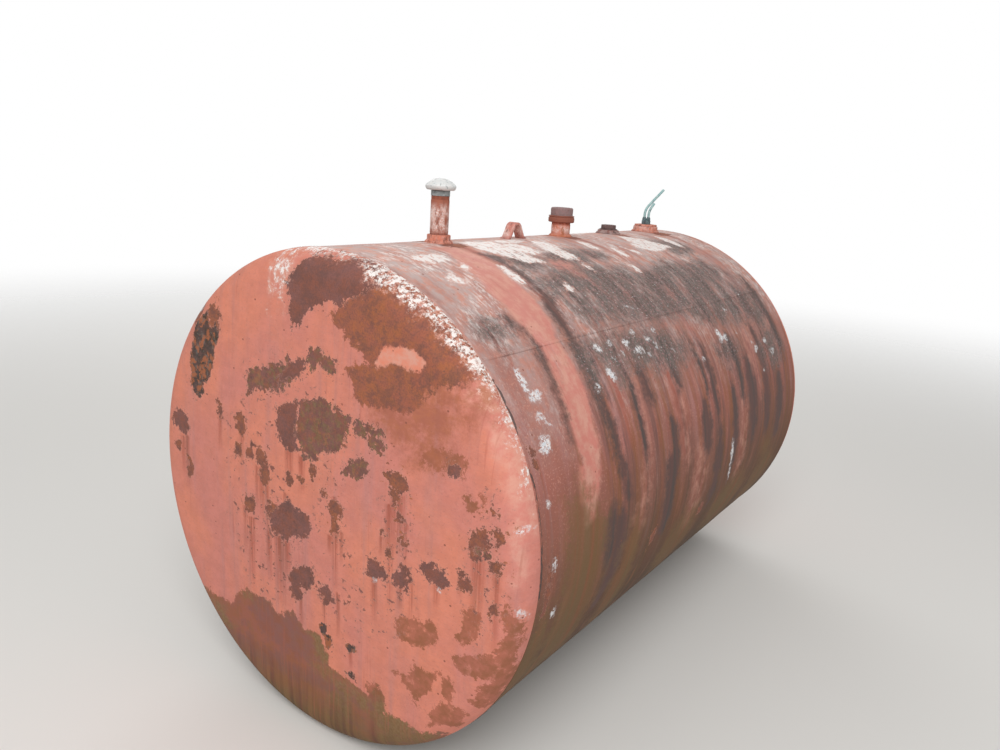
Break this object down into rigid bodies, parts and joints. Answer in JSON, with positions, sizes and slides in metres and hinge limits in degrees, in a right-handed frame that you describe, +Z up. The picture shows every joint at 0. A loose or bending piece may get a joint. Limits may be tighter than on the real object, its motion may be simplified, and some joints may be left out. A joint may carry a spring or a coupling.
{
  "type": "horizontal atmospheric storage tank",
  "caption": "Horizontal steel storage tank with flanged ends, a hooded vent, lifting lug, capped fill pipe, plugged opening and copper draw tubes.",
  "frame": {"origin": "middle of the flat on the belly, at the level the tank lies on", "axes": "+X along the tank, from the vent towards the tube connection; +Y across it, to the left seen from the vent's end; +Z up"},
  "size_m": [1.9104, 1.222, 1.3797],
  "materials": {
    "shell_paint": "weathered red oxide primer, peeling, rusted and mildewed",
    "end_paint": "faded red oxide primer with rust patches and drips",
    "weld_paint": "painted weld bead, rusted at its edges",
    "fitting_paint": "worn red oxide primer",
    "hood_alloy": "dull cast alloy, weathered white",
    "gauze": "dark wire gauze",
    "cap_iron": "weathered cast iron with a purple-brown bloom",
    "plug_iron": "dark rusted iron",
    "fitting_brass": "blackened brass",
    "tube_copper": "copper under a pale blue-green patina"
  },
  "bodies": {
    "root": {"shell": "shell_paint", "shell_seam_weld": "weld_paint", "front_head": "end_paint", "rear_head": "end_paint", "front_head_weld": "weld_paint", "rear_head_weld": "weld_paint", "vent_coupling": "fitting_paint", "vent_coupling_weld": "weld_paint", "vent_pipe": "fitting_paint", "vent_neck": "hood_alloy", "vent_screen": "gauze", "vent_hood": "hood_alloy", "lifting_lug": "fitting_paint", "lug_weld_front": "weld_paint", "lug_weld_rear": "weld_paint", "fill_pipe": "fitting_paint", "fill_pipe_weld": "weld_paint", "fill_adapter": "cap_iron", "fill_cap": "cap_iron", "bung_coupling": "fitting_paint", "bung_coupling_weld": "weld_paint", "bung_plug": "plug_iron", "draw_coupling": "fitting_paint", "draw_coupling_weld": "weld_paint", "reducing_bushing": "fitting_paint", "twin_tube_fitting": "fitting_brass", "supply_tube_nut": "fitting_brass", "return_tube_nut": "fitting_brass", "supply_tube": "tube_copper", "return_tube": "tube_copper"}
  },
  "joints": []
}
